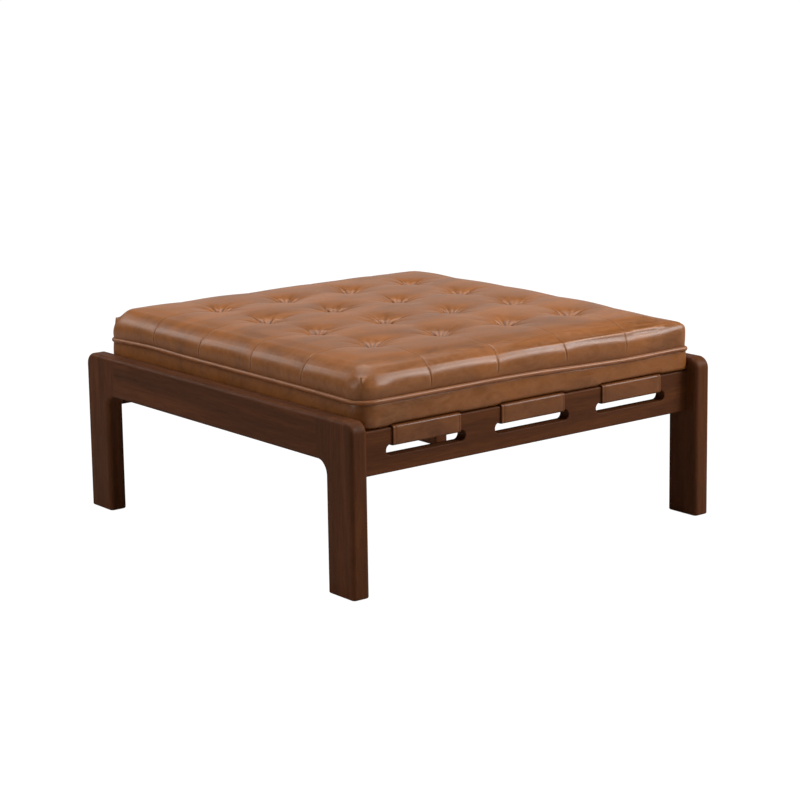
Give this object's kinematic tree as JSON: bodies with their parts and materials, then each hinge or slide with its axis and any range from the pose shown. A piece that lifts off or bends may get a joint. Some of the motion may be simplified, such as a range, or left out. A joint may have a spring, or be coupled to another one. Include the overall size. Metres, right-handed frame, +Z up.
{
  "type": "ottoman coffee table",
  "caption": "Square low table with arched wooden side frames, slotted rails, wide leather straps and a loose tufted leather cushion.",
  "frame": {"origin": "centre of the footprint, on the floor under the foot glides", "axes": "+Z up, X along the slotted cross rails, Y along the arched side frames, front at -Y"},
  "size_m": [0.8636, 0.8636, 0.4128],
  "materials": {
    "walnut": "satin dark walnut stain",
    "strap_leather": "semi-gloss caramel",
    "cushion_leather": "semi-gloss caramel with pull-up shading",
    "rivet_metal": "antique",
    "dowel_wood": "raw beech",
    "glide_plastic": "matte",
    "foam": "open-cell foam",
    "twine": "waxed twine"
  },
  "bodies": {
    "frame": {"front_left_leg": "walnut", "back_left_leg": "walnut", "front_right_leg": "walnut", "back_right_leg": "walnut", "left_side_rail": "walnut", "right_side_rail": "walnut", "front_cross_rail": "walnut", "back_cross_rail": "walnut", "leather_strap_1": "strap_leather", "leather_strap_2": "strap_leather", "leather_strap_3": "strap_leather", "strap_rivets": "rivet_metal", "cross_rail_dowels": "dowel_wood", "side_frame_dowels": "dowel_wood", "foot_glides": "glide_plastic"},
    "cushion": {"cushion_top_cover": "cushion_leather", "cushion_boxing": "cushion_leather", "cushion_bottom_panel": "cushion_leather", "cushion_welt": "cushion_leather", "foam_core": "foam", "tuft_ties": "twine", "tuft_anchors": "glide_plastic"}
  },
  "joints": [
    {"name": "cushion_lift", "type": "slide", "parent": "frame", "child": "cushion", "axis": [0, 0, 1], "range_m": [0, 0.15]}
  ]
}
